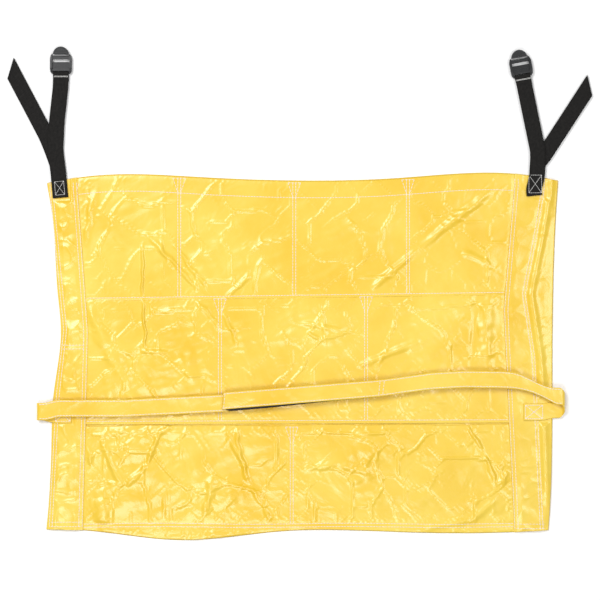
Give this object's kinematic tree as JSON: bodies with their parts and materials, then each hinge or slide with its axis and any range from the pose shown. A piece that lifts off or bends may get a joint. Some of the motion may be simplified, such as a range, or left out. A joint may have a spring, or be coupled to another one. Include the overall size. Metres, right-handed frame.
{
  "type": "caddy bag",
  "caption": "Flat yellow coated-cloth caddy bag with rows of open pockets, side belts and corner webbing straps with ladder-lock buckles.",
  "frame": {"origin": "centre of the whole bag's bounding box, at the level the bag lies on", "axes": "+X across the panel to its right edge, +Y up the panel towards the corner straps, +Z out of the pockets' front"},
  "size_m": [0.9206, 0.7763, 0.0161],
  "materials": {
    "panel_vinyl": "vinyl-coated nylon, bright yellow, glossy, creased",
    "pocket_vinyl": "vinyl-coated nylon, bright yellow, glossy, wrinkled",
    "facing_vinyl": "vinyl-coated nylon, doubled band",
    "belt_vinyl": "folded vinyl-coated nylon strap",
    "thread": "pale polyester sewing thread",
    "thread_dark_ground": "pale grey polyester sewing thread",
    "webbing": "near-black woven webbing",
    "buckle_plastic": "dark grey moulded acetal, satin",
    "hook_and_loop": "black hook-and-loop tape"
  },
  "bodies": {
    "bag": {"back_panel": "panel_vinyl", "bottom_divider_stitching": "thread", "bottom_hem_stitching": "thread", "bottom_pocket_strip": "pocket_vinyl", "foot_seam_stitching": "thread", "left_anchor_stitching": "thread", "left_band_stitching": "thread", "left_belt_anchor": "belt_vinyl", "left_edge_facing": "facing_vinyl", "left_strap_tab": "webbing", "left_tab_stitching": "thread_dark_ground", "middle_divider_stitching": "thread", "middle_pocket_strip": "pocket_vinyl", "mouth_hem_stitching": "thread", "right_anchor_stitching": "thread", "right_band_stitching": "thread", "right_belt_anchor": "belt_vinyl", "right_edge_facing": "facing_vinyl", "right_strap_tab": "webbing", "right_tab_stitching": "thread_dark_ground", "top_divider_stitching": "thread", "top_pocket_strip": "pocket_vinyl"},
    "right_belt": {"right_belt": "belt_vinyl", "hook_strip": "hook_and_loop", "right_belt_stitching": "thread"},
    "left_belt": {"left_belt": "belt_vinyl", "loop_strip": "hook_and_loop", "left_belt_stitching": "thread"},
    "left_strap": {"left_buckle_webbing": "webbing", "left_loop_stitching": "thread_dark_ground", "left_tail_root": "webbing"},
    "left_tail": {"left_tail_webbing": "webbing"},
    "left_buckle_body": {"left_buckle": "buckle_plastic"},
    "right_strap": {"right_buckle_webbing": "webbing", "right_loop_stitching": "thread_dark_ground", "right_tail_root": "webbing"},
    "right_tail": {"right_tail_webbing": "webbing"},
    "right_buckle_body": {"right_buckle": "buckle_plastic"}
  },
  "joints": [
    {"name": "right_belt_swing", "type": "hinge", "parent": "bag", "child": "right_belt", "pos_m": [0.412, -0.172, 0.00925], "axis": [0, 1, 0], "range_deg": [0, 178]},
    {"name": "left_belt_swing", "type": "hinge", "parent": "bag", "child": "left_belt", "pos_m": [-0.408, -0.184, 0.00705], "axis": [0, -1, 0], "range_deg": [0, 86]},
    {"name": "left_strap_fold", "type": "hinge", "parent": "bag", "child": "left_strap", "pos_m": [-0.379, 0.186, 0.006], "axis": [1, 0, 0], "range_deg": [0, 150]},
    {"name": "left_tail_lift", "type": "hinge", "parent": "left_strap", "child": "left_tail", "pos_m": [-0.40903, 0.26723, 0.0035], "axis": [0.8846, 0.4664, 0], "range_deg": [0, 35]},
    {"name": "left_buckle_turn", "type": "hinge", "parent": "left_strap", "child": "left_buckle_body", "pos_m": [-0.3758, 0.347, 0.0042], "axis": [1, 0, 0], "range_deg": [0, 90]},
    {"name": "right_strap_fold", "type": "hinge", "parent": "bag", "child": "right_strap", "pos_m": [0.3726, 0.186, 0.006], "axis": [1, 0, 0], "range_deg": [0, 150]},
    {"name": "right_tail_lift", "type": "hinge", "parent": "right_strap", "child": "right_tail", "pos_m": [0.39742, 0.23796, 0.0035], "axis": [0.8387, -0.5446, 0], "range_deg": [0, 35]},
    {"name": "right_buckle_turn", "type": "hinge", "parent": "right_strap", "child": "right_buckle_body", "pos_m": [0.35, 0.3424, 0.0042], "axis": [0.9833, 0.1822, 0], "range_deg": [0, 90]}
  ],
  "couplings": [
    {"joint": "left_belt_swing", "follows": "right_belt_swing", "ratio": 0.48}
  ]
}
